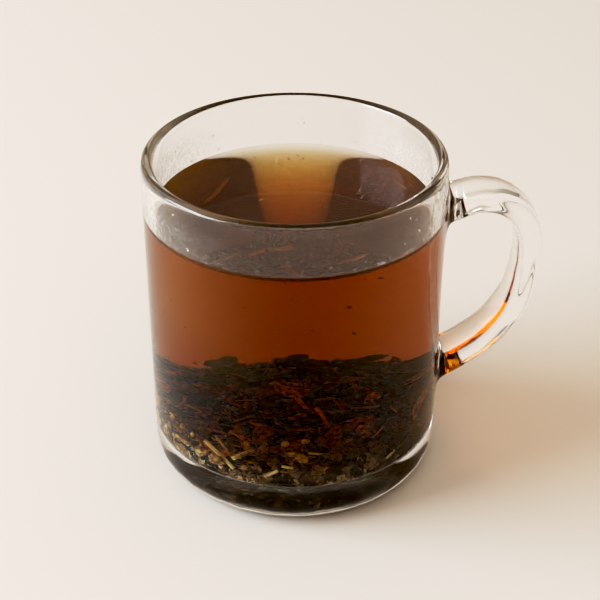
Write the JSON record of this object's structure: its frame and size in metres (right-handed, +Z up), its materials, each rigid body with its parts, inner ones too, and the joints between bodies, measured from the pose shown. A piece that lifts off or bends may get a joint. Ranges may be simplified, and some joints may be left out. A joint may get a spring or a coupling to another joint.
{
  "type": "mug of herbal tea",
  "caption": "Clear straight-sided glass mug with a strap handle, filled with amber herbal tea over a bed of sunk loose leaves.",
  "frame": {"origin": "centre of the mug's flat foot, on the surface that it stands on", "axes": "+Z up along the mug's axis, +X from the axis towards the handle, +Y to the left of someone who looks along +X with +Z up"},
  "size_m": [0.1067, 0.0798, 0.0923],
  "materials": {
    "glass": "clear pressed glass, polished and colourless",
    "tea": "clear amber-brown drink with a still surface",
    "leaves": "soaked dark brown and olive leaves with tan stems"
  },
  "bodies": {
    "root": {"mug": "glass", "tea": "tea", "leaf_bed": "leaves"}
  },
  "joints": []
}
